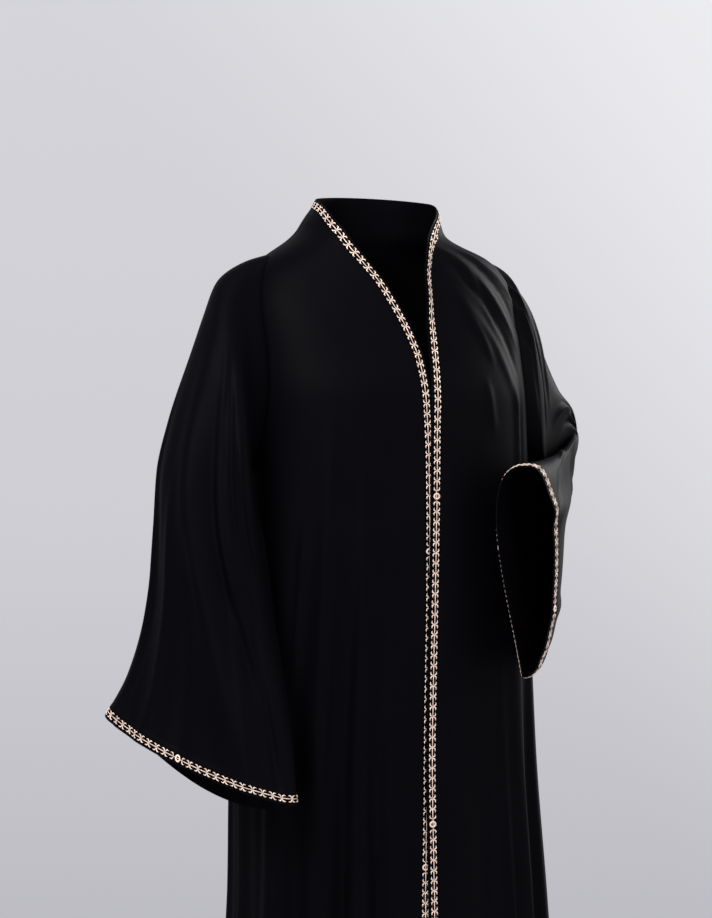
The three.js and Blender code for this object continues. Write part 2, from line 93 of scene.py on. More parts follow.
FOLD_FADE = 0.35
FOLD_RADIUS = 200
SLEEVE_FOLD_RADIUS = 105
SLEEVE_SECTION_LENGTH = 62
SLEEVE_SQUARENESS = {"right": 0.9, "left": 0.72}
SLEEVE_FOLDS_START = 1.5
ARMHOLE_BLEND = 3
ARMHOLE_FRONT_BOW = 66
ARMHOLE_BACK_BOW = 60
CUFF_SAG = {"right": {"front": 9, "back": 54}, "left": {"front": 0, "back": 0}}
CUFF_SAG_SECTIONS = 4
CUFF_LEAN = {"right": 0, "left": 5}
CUFF_LEAN_REACH = 30

SEAM_DIP = 0.6
SEAM_DIP_REACH = 3.5
HEM_TURN = 26
HEM_TURN_LIFT = 0.6
HEM_TURN_EDGE = 2.5
CUFF_TURN = 18
UNEVENNESS = 0.8
UNEVENNESS_FADE = 30
SMOOTH_BELOW_ANGLE = 50

BRAID_INSET = 3
BRAID_WIDTH = 11
BRAID_LIFT = 0.35
TAPE_THICKNESS = 0.45
TAPE_LIFT = 0.05
TAPE_COLUMNS = 5
TAPE_STEP = 5
FLOWER_PITCH = 14.1
FRONT_EYELETS = {"right": (10, 41, 72), "left": (14, 45, 77)}
CUFF_EYELETS = (12, 37)
STITCH_RISE = 0.35
STITCH_WOBBLE = 0.12
LINE_END = 0.2
BRAID_RUNS = (BRAID_INSET, BRAID_INSET + BRAID_WIDTH / 2, BRAID_INSET + BRAID_WIDTH)

SIDES = {"right": -1, "left": 1}


def table(columns, *rows):
    """Rows of numbers with a name for each column."""
    names = columns.split()
    return [dict(zip(names, row)) for row in rows]


# The body's form, level by level: where its middle is across, half its width, and how far its front
# and its back stand from the middle.
BODY_LEVELS = table(
    "z middle half front back",
    (-1430, 20, 285, 185, 175),
    (-1180, 19, 262, 160, 155),
    (-930, 18, 234, 145, 138),
    (-680, 11, 224, 146, 128),
    (-480, 12, 217, 150, 120),
    (-330, 11, 215, 153, 116),
    (-200, 8, 215, 152, 122),
    (-120, 4, 214, 133, 126),
    (-60, 0, 208, 114, 118),
    (-20, 0, 194, 101, 106),
    (5, 0, 172, 94, 94),
    (16, -2, 152, 92, 91),
    (31, -13, 119, 91, 88),
    (40, -12, 109, 90, 86),
    (60, -9, 100, 87, 82),
    (86, -3, 87, 80, 76),
    (100, -2, 84, 78, 74),
)

# The cut edge of each front, from the hem up the opening and round the neck to the shoulder seam.
FRONT_EDGES = {
    "right": table(
        "angle z",
        (-0.6, -1430),
        (0.1, -911),
        (2.2, -715),
        (2.45, -600),
        (2.6, -417),
        (2.6, -290),
        (2.3, -200),
        (1.6, -140),
        (0.2, -114),
        (-2.1, -85),
        (-4.8, -61),
        (-10.4, -26),
        (-19.2, 4),
        (-33, 33),
        (-52, 58),
        (-73, 79),
        (-90, 86),
    ),
    "left": table(
        "angle z",
        (-1.6, -1430),
        (-1.2, -911),
        (-0.6, -715),
        (-0.35, -541),
        (0, -417),
        (0.9, -265),
        (1.9, -196),
        (3.9, -140),
        (4.8, -98),
        (5.9, -56),
        (6.9, -20),
        (10.5, 8),
        (19, 24),
        (31, 39),
        (45, 58),
        (66, 76),
        (90, 86),
    ),
}

# How far down its cut edge the left front stands up at the neck, as a share of its full height.
NECK_STAND_LEVELS = table(
    "z share",
    (-120, 0),
    (-95, 0.25),
    (-45, 1),
    (-8, 1),
    (52, 0),
    (86, 0),
)

# Soft folds of the body, each from one place to another. Bow carries its middle sideways, and a height
# below nought is a trough.
BODY_FOLDS = table(
    "from_angle from_z to_angle to_z bow width height",
    (-14, -150, -15, -2300, 0, 15, 9),
    (-19, -160, -21, -2300, 0, 15, -8),
    (-23, -120, -28, -2300, 0, 17, 10),
    (-30, -200, -36, -2300, 0, 20, -12),
    (-39, -150, -45, -2300, 0, 20, 12),
    (-50, -250, -56, -2300, 0, 22, -10),
    (-62, -300, -66, -2300, 0, 24, 10),
    (-78, -420, -80, -2300, 0, 26, -8),
    (24, -400, 26, -2300, 0, 22, -5),
    (44, -110, 47, -2300, 0, 24, 9),
    (57, -200, 58, -2300, 0, 20, -10),
    (70, -360, 70, -2300, 0, 22, 9),
    (84, -420, 84, -2300, 0, 24, -8),
    (112, -330, 110, -2300, 0, 26, 11),
    (130, -240, 127, -2300, 0, 26, -12),
    (146, -160, 145, -2300, 0, 24, 11),
    (163, -260, 164, -2300, 0, 24, -9),
    (180, -330, 182, -2300, 0, 26, 10),
    (200, -200, 200, -2300, 0, 24, -11),
    (216, -140, 218, -2300, 0, 26, 12),
    (234, -300, 236, -2300, 0, 24, -9),
    (252, -380, 252, -2300, 0, 26, 10),
)

# Smaller creases of the body's cloth: the pull from the left shoulder over the breast, the short
# breaks beside the arms, and the finer breaks between the long folds.
BODY_CREASES = table(
    "from_angle from_z to_angle to_z bow width height",
    (20, 34, 62, -150, -14, 7, 3.2),
    (26, 40, 70, -120, -12, 6, -2.6),
    (34, 38, 74, -84, -10, 7, 3.0),
    (18, 14, 58, -196, -18, 8, -2.8),
    (44, 40, 80, -60, -6, 6, 2.2),
    (16, -20, 52, -232, -16, 9, 2.2),
    (29, 9, 45, -124, 0, 7, 3.4),
    (32, -25, 44, -113, -3, 6, -3.0),
    (23, -56, 36, -155, -4, 7, 2.6),
    (50, -150, 49, -330, 2, 8, 4.2),
    (57, -140, 55, -400, 0, 9, -4.0),
    (29, -160, 32, -250, 0, 7, 2.4),
    (-23, -190, -31, -1700, 6, 6, 4.4),
    (-26.5, -240, -35, -1700, 4, 8, -4.2),
    (-13, -230, -25, -1700, 3, 8, -4.0),
    (-7, -200, -17, -1700, -4, 9, 3.2),
    (-36, -200, -41, -640, 4, 9, 3.6),
    (-30, -300, -46, -1100, -5, 10, -3.8),
    (-48, -330, -53, -640, 3, 6, 4.2),
    (-56, -420, -60, -1700, 0, 10, 4.0),
    (-66, -360, -72, -1700, 0, 12, -4.4),
    (34, -430, 43, -1700, 4, 7, 4.0),
    (39.5, -540, 37, -1700, -3, 6, -3.4),
    (46, -560, 48, -1700, 0, 6, 3.6),
    (28, -480, 27, -1700, 5, 12, 2.4),
    (63, -330, 66, -1700, 0, 9, 4.2),
    (78, -380, 77, -1700, 0, 10, -4.0),
    (104, -200, 101, -1700, 4, 9, 4.2),
    (119, -170, 121, -1700, -4, 10, -4.4),
    (138, -120, 136, -1700, 5, 8, 4.0),
    (155, -150, 157, -1700, -3, 9, -4.0),
    (172, -190, 170, -1700, 4, 8, 3.8),
    (191, -160, 193, -1700, -5, 9, 4.2),
    (208, -120, 206, -1700, 3, 8, -4.0),
    (225, -170, 227, -1700, -4, 9, 4.4),
    (243, -210, 245, -1700, 3, 10, -4.2),
    (260, -330, 258, -1700, 0, 9, 4.0),
)

# Sections of each sleeve, from the armhole to the cuff: the middle of its upper fold, the middle of
# its lower fold, where its front faces, how far its front and back bow out, and how much more
# its front bows in its upper half.
SLEEVE_COLUMNS = "section top_x top_y top_z low_x low_y low_z facing front back crown"
SLEEVE_SECTIONS = {
    "right": table(
        SLEEVE_COLUMNS,
        (1, -203, 0, -4, -228, -34, -310, -4, 64, 54, 0),
        (2, -242, 0, -32, -222, -78, -336, -12, 62, 50, 0),
        (3, -262, 0, -82, -217, -96, -364, -22, 60, 46, 0),
        (4, -282, 5, -152, -214, -103, -394, -33, 58, 46, 0),
        (5, -302, 12, -224, -212, -108, -427, -42, 58, 48, 0),
        (6, -316, 20, -293, -210, -113, -462, -46, 58, 50, 0),
        (7, -319, 25, -363, -207, -120, -505, -49, 56, 50, 0),
        (8, -322, 30, -430, -203, -132, -555, -49, 54, 50, 0),
        (9, -334, 36, -505, -198, -146, -612, -49, 52, 49, 0),
        (10, -355, 43, -575, -195, -160, -678, -49, 49, 48, 0),
        (11, -386, 50, -632, -194, -172, -744, -49, 46, 46, 0),
    ),
    "left": table(
        SLEEVE_COLUMNS,
        (1, 188, 0, -2, 250, 4, -308, -2, 62, 56, 0),
        (2, 216, 0, -34, 252, 10, -335, -5, 60, 54, 0),
        (3, 245, 6, -82, 258, 15, -360, -10, 56, 50, 0),
        (4, 270, 18, -132, 262, 20, -388, -18, 52, 46, 0),
        (5, 297, 29, -172, 266, 22, -414, -30, 46, 40, 0),
        (6, 329, 38, -204, 268, 22, -438, -45, 36, 26, 0),
        (7, 340, 41, -238, 266, 18, -462, -65, 28, 10, 0),
        (8, 308, -2, -258, 248, -12, -502, -88, 22, 6, 0.2),
        (9, 271, -54, -267, 230, -60, -536, -105, 20, 13, 0.4),
        (10, 228, -107, -275, 200, -112, -557, -114, 22, 23, 0.6),
        (11, 181, -162, -281, 163, -162, -569, -119, 27, 36, 0.75),
        (12, 133, -212, -284, 126, -206, -583, -121, 35, 46, 0.85),
    ),
}

# Soft folds of each sleeve, then its smaller creases, from one angle and section to another.
SLEEVE_FOLD_COLUMNS = "from_angle from_section to_angle to_section bow width height"
SLEEVE_FOLDS = {
    "right": table(
        SLEEVE_FOLD_COLUMNS,
        (140, 1.5, 30, 13, 0, 22, 9),
        (110, 1.5, 10, 12, 0, 18, -9),
        (160, 4, 120, 14, 0, 20, -5),
        (230, 2, 240, 14, 0, 26, -8),
        (290, 2, 280, 14, 0, 24, 8),
    ),
    "left": table(
        SLEEVE_FOLD_COLUMNS,
        (150, 5.4, 250, 8.2, 0, 10, -7),
        (170, 2, 220, 7, 0, 22, 7),
        (300, 2, 285, 10, 0, 24, -7),
        (240, 6, 235, 14, 0, 18, 6),
    ),
}
SLEEVE_CREASES = {
    "right": table(
        SLEEVE_FOLD_COLUMNS,
        (122, 1.6, 30, 8.8, -14, 8, 5.0),
        (108, 1.8, 30, 6.2, -10, 8, -4.6),
        (80, 2.2, 24, 5.6, -8, 7, 3.8),
        (34, 5.4, 22, 12.5, 0, 9, -4.2),
        (60, 5.0, 50, 13.0, -6, 9, 3.6),
        (96, 5.0, 92, 13.0, 5, 10, -4.0),
        (120, 4.5, 122, 13.0, 0, 9, 3.8),
        (164, 3.0, 154, 10.0, 0, 9, 3.4),
        (146, 7.6, 150, 12.5, 0, 7, -3.2),
        (205, 2.0, 212, 13.0, 6, 10, 4.2),
        (258, 1.8, 262, 13.0, -6, 11, -4.4),
        (312, 2.2, 306, 13.0, 5, 10, 4.0),
        (340, 3.0, 336, 13.0, 0, 9, -3.4),
    ),
    "left": table(
        SLEEVE_FOLD_COLUMNS,
        (120, 5.2, 200, 6.6, 4, 6, 4.8),
        (130, 6.0, 215, 7.4, 4, 8, -5.2),
        (178, 7.0, 262, 9.0, 4, 7, 4.0),
        (150, 8.0, 240, 11.6, -5, 7, 3.8),
        (180, 9.2, 262, 12.6, -4, 8, -4.0),
        (226, 2.4, 216, 6.6, 3, 7, 3.2),
        (176, 1.6, 130, 5.2, -6, 9, 3.6),
        (150, 1.6, 104, 5.0, -6, 9, -3.6),
        (60, 2.0, 70, 8.0, 5, 9, 3.4),
        (300, 3.0, 290, 13.5, 5, 10, 4.0),
        (330, 3.6, 325, 13.5, -4, 10, -3.8),
    ),
}


# ---- Numbers and curves -----------------------------------------------------------------------------


def mix(a, b, share):
    return a + (b - a) * share


def ease(t):
    s = np.clip(t, 0, 1)
    return s * s * (3 - 2 * s)


def length_of(vectors):
    return np.linalg.norm(vectors, axis=-1, keepdims=True)


def unit(vectors):
    return vectors / np.maximum(length_of(vectors), 1e-9)


def smooth(rows, key):
    """A smooth curve through a table's rows that never overshoots them."""
    at = np.array([row[key] for row in rows], float)
    names = [name for name in rows[0] if name != key]
    values = {name: np.array([row[name] for row in rows], float) for name in names}
    slopes = {}
    for name in names:
        steps = np.diff(values[name]) / np.diff(at)
        before = np.concatenate([steps[:1], steps])
        after = np.concatenate([steps, steps[-1:]])
        total = np.where(before + after == 0, 1, before + after)
        slopes[name] = np.where(before * after <= 0, 0, 2 * before * after / total)

    def curve(x):
        x = np.asarray(x, float)
        i = np.clip(np.searchsorted(at, x, side="left") - 1, 0, len(at) - 2)
        width = at[i + 1] - at[i]
        t = np.clip((x - at[i]) / width, 0, 1)
        found = {}
        for name in names:
            a, b = values[name][i], values[name][i + 1]
            p, q = slopes[name][i] * width, slopes[name][i + 1] * width
            found[name] = a + t * (p + t * (3 * (b - a) - 2 * p - q + t * (p + q - 2 * (b - a))))
        return found

    return curve


def fold_height(folds, across, along):
    """How far the folds lift the cloth at a place, across and along in millimetres."""
    height = 0
    for fold in folds:
        (x0, z0), (x1, z1) = fold["start"], fold["end"]
        dx, dz = x1 - x0, z1 - z0
        length = math.hypot(dx, dz)
        part = ((across - x0) * dx + (along - z0) * dz) / length**2
        off = ((across - x0) * dz - (along - z0) * dx) / length
        off = off - fold["bow"] * 4 * part * (1 - part) * (part > 0) * (part < 1)
        fade = ease(part / FOLD_FADE) * ease((1 - part) / FOLD_FADE)
        height = height + fold["height"] * fade * np.exp(-((off / fold["width"]) ** 2))
    return height


def ripple(across, along, seed, size):
    """A slow unevenness of hanging cloth, about one millimetre high, the same each time."""
    chance = np.random.default_rng(seed)
    height = 0
    for _ in range(6):
        turn, phase, stretch = chance.uniform(0, 6.283, 3)
        x = across * math.cos(turn) + along * 0.35 * math.sin(turn)
        height = height + np.sin(x / (size * (0.6 + 0.15 * stretch)) + phase * 3)
    return height / 6


# ---- The body's form ----------------------------------------------------------------------------------

marked_level_at = smooth(BODY_LEVELS, "z")


def level_at(z):
    """The body's form at a height, rounded a little where one level turns into the next."""
    near = [marked_level_at(z + step) for step in (-LEVEL_ROUNDING, 0, LEVEL_ROUNDING)]
    return {name: sum(level[name] for level in near) / 3 for name in near[0]}


def placed_folds(rows, start, end, radius, scale):
    """Folds with their ends in millimetres across and along the cloth."""
    placed = []
    for row in rows:
        from_place = (math.radians(row["from_angle"]) * radius, row[start] * scale)
        to_place = (math.radians(row["to_angle"]) * radius, row[end] * scale)
        placed.append({**row, "start": from_place, "end": to_place})
    return placed


body_folds = placed_folds(BODY_FOLDS + BODY_CREASES, "from_z", "to_z", FOLD_RADIUS, 1)


def body_point(angle, z, lift=0):
    """The cloth's outer face on the body."""
    angle, z = np.broadcast_arrays(np.asarray(angle, float), np.asarray(z, float))
    level = level_at(z)
    sin, cos = np.sin(np.radians(angle)), np.cos(np.radians(angle))
    depth = np.where(cos > 0, level["front"], level["back"])
    outward = unit(np.stack([sin / level["half"], -cos / depth, np.zeros_like(sin)], -1))
    folded = np.zeros_like(sin) + lift
    for turn in (-360, 0, 360):
        folded = folded + fold_height(body_folds, np.radians(angle + turn) * FOLD_RADIUS, z)
    plain = np.stack([level["middle"] + level["half"] * sin, -depth * cos, z], -1)
    return plain + outward * folded[..., None]


def armhole_place(side, around):
    """A place on the armhole, at an angle round it from the underarm."""
    swing = np.abs(np.sin(np.radians(around))) ** ARMHOLE_ROUNDNESS
    reach = np.where(around <= 180, -FRONT_ARMHOLE_REACH, BACK_ARMHOLE_REACH)
    z = mix(UNDERARM_Z, SHOULDER_Z, (1 - np.cos(np.radians(around))) / 2)
    return side * (SIDE_ANGLE + reach * swing), z


def edge_curve(rows):
    """The cut edge of a front by its length, from 0 at the hem to 1 at the shoulder seam."""
    points = body_point([row["angle"] for row in rows], [row["z"] for row in rows])
    steps = length_of(np.diff(points, axis=0))[:, 0]
    lengths = np.concatenate([[0], np.cumsum(steps)])
    curve = smooth([{**row, "length": length} for row, length in zip(rows, lengths)], "length")

    def place(share):
        found = curve(np.asarray(share) * lengths[-1])
        return found["angle"], found["z"]

    return place


def seam_run(side):
    """Heights down the shoulder seam, by the distance from the neck."""
    z = np.linspace(NECK_Z, SHOULDER_Z, SEAM_SAMPLES)
    points = body_point(side * SIDE_ANGLE, z)
    distance = np.concatenate([[0], np.cumsum(length_of(np.diff(points, axis=0))[:, 0])])
    return lambda at: np.interp(at, distance, z), distance[-1]


edges = {hand: edge_curve(rows) for hand, rows in FRONT_EDGES.items()}
seam_runs = {hand: seam_run(side) for hand, side in SIDES.items()}


def edge_place(hand, share, distance):
    """A place a given distance inside the cut edge of a front, square to it."""
    side, edge = SIDES[hand], edges[hand]
    share = np.asarray(share, float)
    angle, z = edge(share)
    before = body_point(*edge(np.maximum(share - EDGE_STEP, 0)))
    after = body_point(*edge(np.minimum(share + EDGE_STEP, 1)))
    base = body_point(angle, z)
    per_degree = body_point(angle + 1, z) - base
    per_millimetre = body_point(angle, z + 1) - base
    outward = np.cross(per_degree, per_millimetre)
    inward = unit(np.cross(after - before, outward)) * side * distance
    a, b = (per_degree**2).sum(-1), (per_degree * per_millimetre).sum(-1)
    c = (per_millimetre**2).sum(-1)
    p, q = (per_degree * inward).sum(-1), (per_millimetre * inward).sum(-1)
    scale = 1 / (a * c - b * b)
    placed_angle = angle + (p * c - q * b) * scale
    placed_z = z + (q * a - p * b) * scale
    near_seam = ease((share - 1 + SEAM_TOP_BLEND) / SEAM_TOP_BLEND)
    seam_z = seam_runs[hand][0](distance)
    return mix(placed_angle, side * SIDE_ANGLE, near_seam), mix(placed_z, seam_z, near_seam)


neck_stand_at = smooth(NECK_STAND_LEVELS, "z")


def lap_lift(hand, angle, z, edge_angle, edge_z):
    """How far the left front's edge stands proud: a little where it laps, and up beside the neck."""
    if hand == "right":
        return 0
    down = ease((LAP_TOP_Z - z) / (LAP_TOP_Z - LAP_FULL_Z))
    distance = length_of(body_point(angle, z) - body_point(edge_angle, edge_z))[..., 0]
    stand = NECK_STAND * neck_stand_at(z)["share"] * (1 - ease(distance / NECK_STAND_REACH))
    return LAP_LIFT * down * (1 - ease(distance / LAP_REACH)) + stand


# ---- Panels -------------------------------------------------------------------------------------------


def run_of(*stops):
    """Even steps between stops, each stop a place and the number of steps up to it."""
    places = [np.array([stops[0][0]], float)]
    for (start, _), (end, count) in zip(stops, stops[1:]):
        places.append(np.linspace(start, end, count + 1)[1:])
    return np.concatenate(places)


def front_grid(hand):
    """Points of a front panel, hem to shoulder seam, cut edge to side seam and armhole."""
    side = SIDES[hand]
    rows_in_front = ROWS_BELOW_ARM + ROWS_AT_ARMHOLE
    row = run_of((0, 0), (0.45, 12), (ROWS_BELOW_ARM, 200), (rows_in_front - 0.3, 72),
                 (rows_in_front, 6))
    below = row <= ROWS_BELOW_ARM
    part = np.clip((row - ROWS_BELOW_ARM) / ROWS_AT_ARMHOLE, 0, 1)
    share = np.where(below, EDGE_SHARE_AT_UNDERARM * row / ROWS_BELOW_ARM,
                     mix(EDGE_SHARE_AT_UNDERARM, 1, part))
    hole_angle, hole_z = armhole_place(side, 180 * part)
    side_angle = np.where(below, side * SIDE_ANGLE, hole_angle)
    side_z = np.where(below, mix(HEM_Z, UNDERARM_Z, row / ROWS_BELOW_ARM), hole_z)
    start_angle, start_z = edge_place(hand, share, BRAID_INSET + BRAID_WIDTH)
    columns = [edge_place(hand, share, distance) for distance in (0, 1.5, 3, 5.5, 8.5, 11.5)]
    for across in run_of((0, 0), (0.95, 56), (1, 8)):
        columns.append((mix(start_angle, side_angle, across), mix(start_z, side_z, across)))
    angle = np.stack([column[0] for column in columns], 1)
    z = np.stack([column[1] for column in columns], 1)
    lift = lap_lift(hand, angle, z, angle[:, :1], z[:, :1])
    grid = body_point(angle, z, lift)
    to_side = length_of(grid - grid[:, -1:])[..., 0]
    to_top = length_of(grid - grid[-1:])[..., 0]
    to_hem = length_of(grid - grid[:1])[..., 0]
    slow = ripple(angle * 3.6, z, 3 if hand == "right" else 4, 34)
    return grid, surface_lift(slow, [to_side, to_top], to_hem, HEM_TURN)


def surface_lift(slow, seam_distances, hem_distance, hem_turn):
    """What lies on the folded form: a dip at each seam, the turned hem and a slow unevenness."""
    lift = slow * UNEVENNESS
    fade = 1
    for distance in seam_distances:
        lift = lift - SEAM_DIP * np.exp(-((distance / SEAM_DIP_REACH) ** 2))
        fade = fade * ease(distance / UNEVENNESS_FADE)
    lift = lift - slow * UNEVENNESS * (1 - fade)
    return lift + HEM_TURN_LIFT * (1 - ease((hem_distance - hem_turn) / HEM_TURN_EDGE))


def back_ends(hand):
    """Where the back's rows end: up the side seam, round the armhole, then up the shoulder seam."""
    side = SIDES[hand]
    rows_in_front = ROWS_BELOW_ARM + ROWS_AT_ARMHOLE
    row = run_of((0, 0), (0.45, 12), (ROWS_BELOW_ARM, 170), (rows_in_front, 62),
                 (rows_in_front + SHOULDER_ROWS, 48))
    z_at, seam_length = seam_runs[hand]
    part = np.clip((row - ROWS_BELOW_ARM) / ROWS_AT_ARMHOLE, 0, 1)
    hole_angle, hole_z = armhole_place(side, 360 - 180 * part)
    up_seam = np.clip((row - rows_in_front) / SHOULDER_ROWS, 0, 1)
    side_z = mix(HEM_Z, UNDERARM_Z, row / ROWS_BELOW_ARM)
    z = np.where(row <= ROWS_BELOW_ARM, side_z, hole_z)
    z = np.where(row > rows_in_front, z_at(seam_length * (1 - up_seam)), z)
    at_armhole = (row > ROWS_BELOW_ARM) & (row <= rows_in_front)
    return np.where(at_armhole, hole_angle, side * SIDE_ANGLE), z


def back_place(ends, share):
    """A place on the back between two ends of a row, a share of the way from left to right."""
    (left_angle, left_z), (right_angle, right_z) = ends
    angle = mix(left_angle, 360 + right_angle, share)
    z = mix(left_z, right_z, share)
    rising = ease((z - UNDERARM_Z) / (NECK_Z - UNDERARM_Z))
    return angle, z + BACK_NECK_RISE * rising * np.sin(np.pi * share)


def back_grid():
    """Points of the back panel, hem to neck, left side seam round to the right one."""
    ends = [[value[:, None] for value in back_ends(hand)] for hand in ("left", "right")]
    share = run_of((0, 0), (0.03, 6), (0.97, 116), (1, 6))[None, :]
    angle, z = back_place(ends, share)
    grid = body_point(angle, z)
    to_left = length_of(grid - grid[:, :1])[..., 0]
    to_right = length_of(grid - grid[:, -1:])[..., 0]
    to_hem = length_of(grid - grid[:1])[..., 0]
    slow = ripple(angle * 3.6, z, 5, 36)
    return grid, surface_lift(slow, [to_left, to_right], to_hem, HEM_TURN)


# ---- Sleeves ------------------------------------------------------------------------------------------


def vectors(found, prefix):
    """The points that a sleeve table gives under one name."""
    return np.stack([found[prefix + axis] for axis in ("_x", "_y", "_z")], -1)


def make_sleeve(hand):
    """The sleeve's outer face as a function of the angle round it and the section."""
    side = SIDES[hand]
    top = body_point(side * SIDE_ANGLE, SHOULDER_Z)
    low = body_point(side * SIDE_ANGLE, UNDERARM_Z)
    armhole = {"section": 0, "facing": 0, "crown": 0}
    armhole.update({"front": ARMHOLE_FRONT_BOW, "back": ARMHOLE_BACK_BOW})
    for name, point in (("top", top), ("low", low)):
        armhole.update({f"{name}_{axis}": value for axis, value in zip("xyz", point)})
    rows = SLEEVE_SECTIONS[hand]
    section_at = smooth([armhole, *rows], "section")
    last = rows[-1]["section"]
    folds = placed_folds(SLEEVE_FOLDS[hand] + SLEEVE_CREASES[hand], "from_section", "to_section",
                         SLEEVE_FOLD_RADIUS, SLEEVE_SECTION_LENGTH)

    def ring(around, section):
        found = section_at(section)
        upper, lower = vectors(found, "top"), vectors(found, "low")
        along = unit(upper - lower)
        turn = np.radians(found["facing"])
        face = np.stack([np.sin(turn), -np.cos(turn), np.zeros_like(turn)], -1)
        face = unit(face - along * (face * along).sum(-1, keepdims=True))
        sin = np.sin(np.radians(around))
        swell = np.sign(sin) * np.abs(sin) ** SLEEVE_SQUARENESS[hand]
        front = found["front"] * (1 - found["crown"] * np.cos(np.radians(around)))
        bow = swell * np.where(sin > 0, front, found["back"])
        share = (1 - np.cos(np.radians(around))) / 2
        point = mix(lower, upper, share[..., None]) + face * bow[..., None]
        sag = np.where(sin > 0, CUFF_SAG[hand]["front"], CUFF_SAG[hand]["back"]) * sin**2
        point[..., 2] -= sag * ease(1 - (last - section) / CUFF_SAG_SECTIONS)
        return point

    def tube(around, section):
        around, section = np.broadcast_arrays(np.asarray(around, float), np.asarray(section, float))
        miss = body_point(*armhole_place(side, around)) - ring(around, np.zeros_like(section))
        return ring(around, section) + miss * (1 - ease(section / ARMHOLE_BLEND))[..., None]

    def point(around, section, lift=0):
        around, section = np.broadcast_arrays(np.asarray(around, float), np.asarray(section, float))
        across = tube((around + 1) % 360, section) - tube((around - 1) % 360, section)
        along = tube(around, section + 0.02) - tube(around, np.maximum(section - 0.02, 0))
        outward = unit(np.cross(along, across)) * side
        place = (np.radians(around) * SLEEVE_FOLD_RADIUS, section * SLEEVE_SECTION_LENGTH)
        height = fold_height(folds, *place) * ease(section / SLEEVE_FOLDS_START) + lift
        to_cuff = (last - section) * SLEEVE_SECTION_LENGTH / CUFF_LEAN_REACH
        height = height - CUFF_LEAN[hand] * np.clip(1 - to_cuff, 0, 1) ** 2
        return tube(around, section) + outward * height[..., None]

    return point, last


def sleeve_grid(hand):
    """Points of a sleeve, armhole to cuff, once round."""
    point, last = make_sleeve(hand)
    around = np.linspace(0, 360, 150, endpoint=False)[None, :]
    section = run_of((0, 0), (0.3, 6), (last - 0.45, 12 * last), (last, 12))[:, None]
    grid = point(around, section)
    to_armhole = length_of(grid - grid[:1])[..., 0]
    to_cuff = length_of(grid - grid[-1:])[..., 0]
    slow = ripple(around * 1.9 + section * 0, section * SLEEVE_SECTION_LENGTH, 7 + SIDES[hand], 30)
    slow = slow * np.sin(np.radians(around / 2)) ** 0.5
    return grid, surface_lift(slow, [to_armhole], to_cuff, CUFF_TURN)


# ---- Cloth meshes ---------------------------------------------------------------------------------------


def grid_normals(grid, closed):
    """Directions square to a grid of points."""
    if closed:
        across = np.roll(grid, -1, 1) - np.roll(grid, 1, 1)
    else:
        across = np.gradient(grid, axis=1)
    return unit(np.cross(across, np.gradient(grid, axis=0)))


def quads_of(rows, columns, closed, flip):
    """Faces of a grid, as four corners each."""
    index = np.arange(rows * columns).reshape(rows, columns)
    if closed:
        index = np.hstack([index, index[:, :1]])
    corners = [index[:-1, :-1], index[:-1, 1:], index[1:, 1:], index[1:, :-1]]
    quads = np.stack(corners, -1).reshape(-1, 4)
    return quads[:, ::-1] if flip else quads


def only(obj):
    """Selects one object alone, and makes it the active one."""
    bpy.ops.object.select_all(action="DESELECT")
    obj.select_set(True)
    bpy.context.view_layer.objects.active = obj


def mesh_object(name, points, faces):
    """A mesh in metres from points in millimetres."""
    mesh = bpy.data.meshes.new(name)
    mesh.from_pydata((points * METRE).tolist(), [], [list(map(int, face)) for face in faces])
    mesh.validate()
    obj = bpy.data.objects.new(name, mesh)
    bpy.context.scene.collection.objects.link(obj)
    return obj


def thicken(obj, thickness):
    """Gives a sheet its thickness, inwards from its outer face."""
    only(obj)
    wall = obj.modifiers.new("wall", "SOLIDIFY")
    wall.thickness = thickness * METRE
    wall.offset = -1
    bpy.ops.object.modifier_apply(modifier=wall.name)
    bpy.ops.object.shade_smooth_by_angle(angle=math.radians(SMOOTH_BELOW_ANGLE))


def sew(name, made, flip, closed=False):
    """A cloth piece from its grid of points and what lies on it."""
    grid, lift = made
    normals = grid_normals(grid, closed) * (-1 if flip else 1)
    grid = grid + normals * lift[..., None]
    rows, columns = grid.shape[:2]
    piece = mesh_object(name, grid.reshape(-1, 3), quads_of(rows, columns, closed, flip))
    thicken(piece, CLOTH_THICKNESS)
    return piece


# ---- Embroidery -----------------------------------------------------------------------------------------
#
# A line of embroidery follows a lane: three runs of points on the cloth, at the lane's two sides and
# its middle. Each flower is four leaf stitches that meet at its heart, with a bar of thread along the
# lane between one heart and the next. Here and there a round eyelet of thread takes a flower's place.


def front_lane(hand):
    """The lane up a front's cut edge, from the hem to the shoulder seam."""
    share = np.linspace(0, 1, 1600)
    edge_angle, edge_z = edges[hand](share)
    runs = []
    for distance in BRAID_RUNS:
        angle, z = edge_place(hand, share, distance)
        runs.append(body_point(angle, z, lap_lift(hand, angle, z, edge_angle, edge_z)))
    return np.stack(runs, 1)


def neck_lane():
    """The lane round the back of the neck, from the left shoulder seam to the right one."""
    share = np.linspace(0, 1, 400)
    runs = []
    for distance in BRAID_RUNS:
        ends = []
        for hand in ("left", "right"):
            ends.append((SIDES[hand] * SIDE_ANGLE, seam_runs[hand][0](distance)))
        runs.append(body_point(*back_place(ends, share)))
    return np.stack(runs, 1)


def cuff_lane(hand):
    """The lane once round a cuff, from the underarm over the front."""
    point, last = make_sleeve(hand)
    around = np.linspace(0, 360, 721)
    reach = length_of(point(around, last) - point(around, last - 0.1))[:, 0] / 0.1
    runs = []
    for distance in BRAID_RUNS:
        runs.append(point(around, last - distance / reach))
    return np.stack(runs, 1)


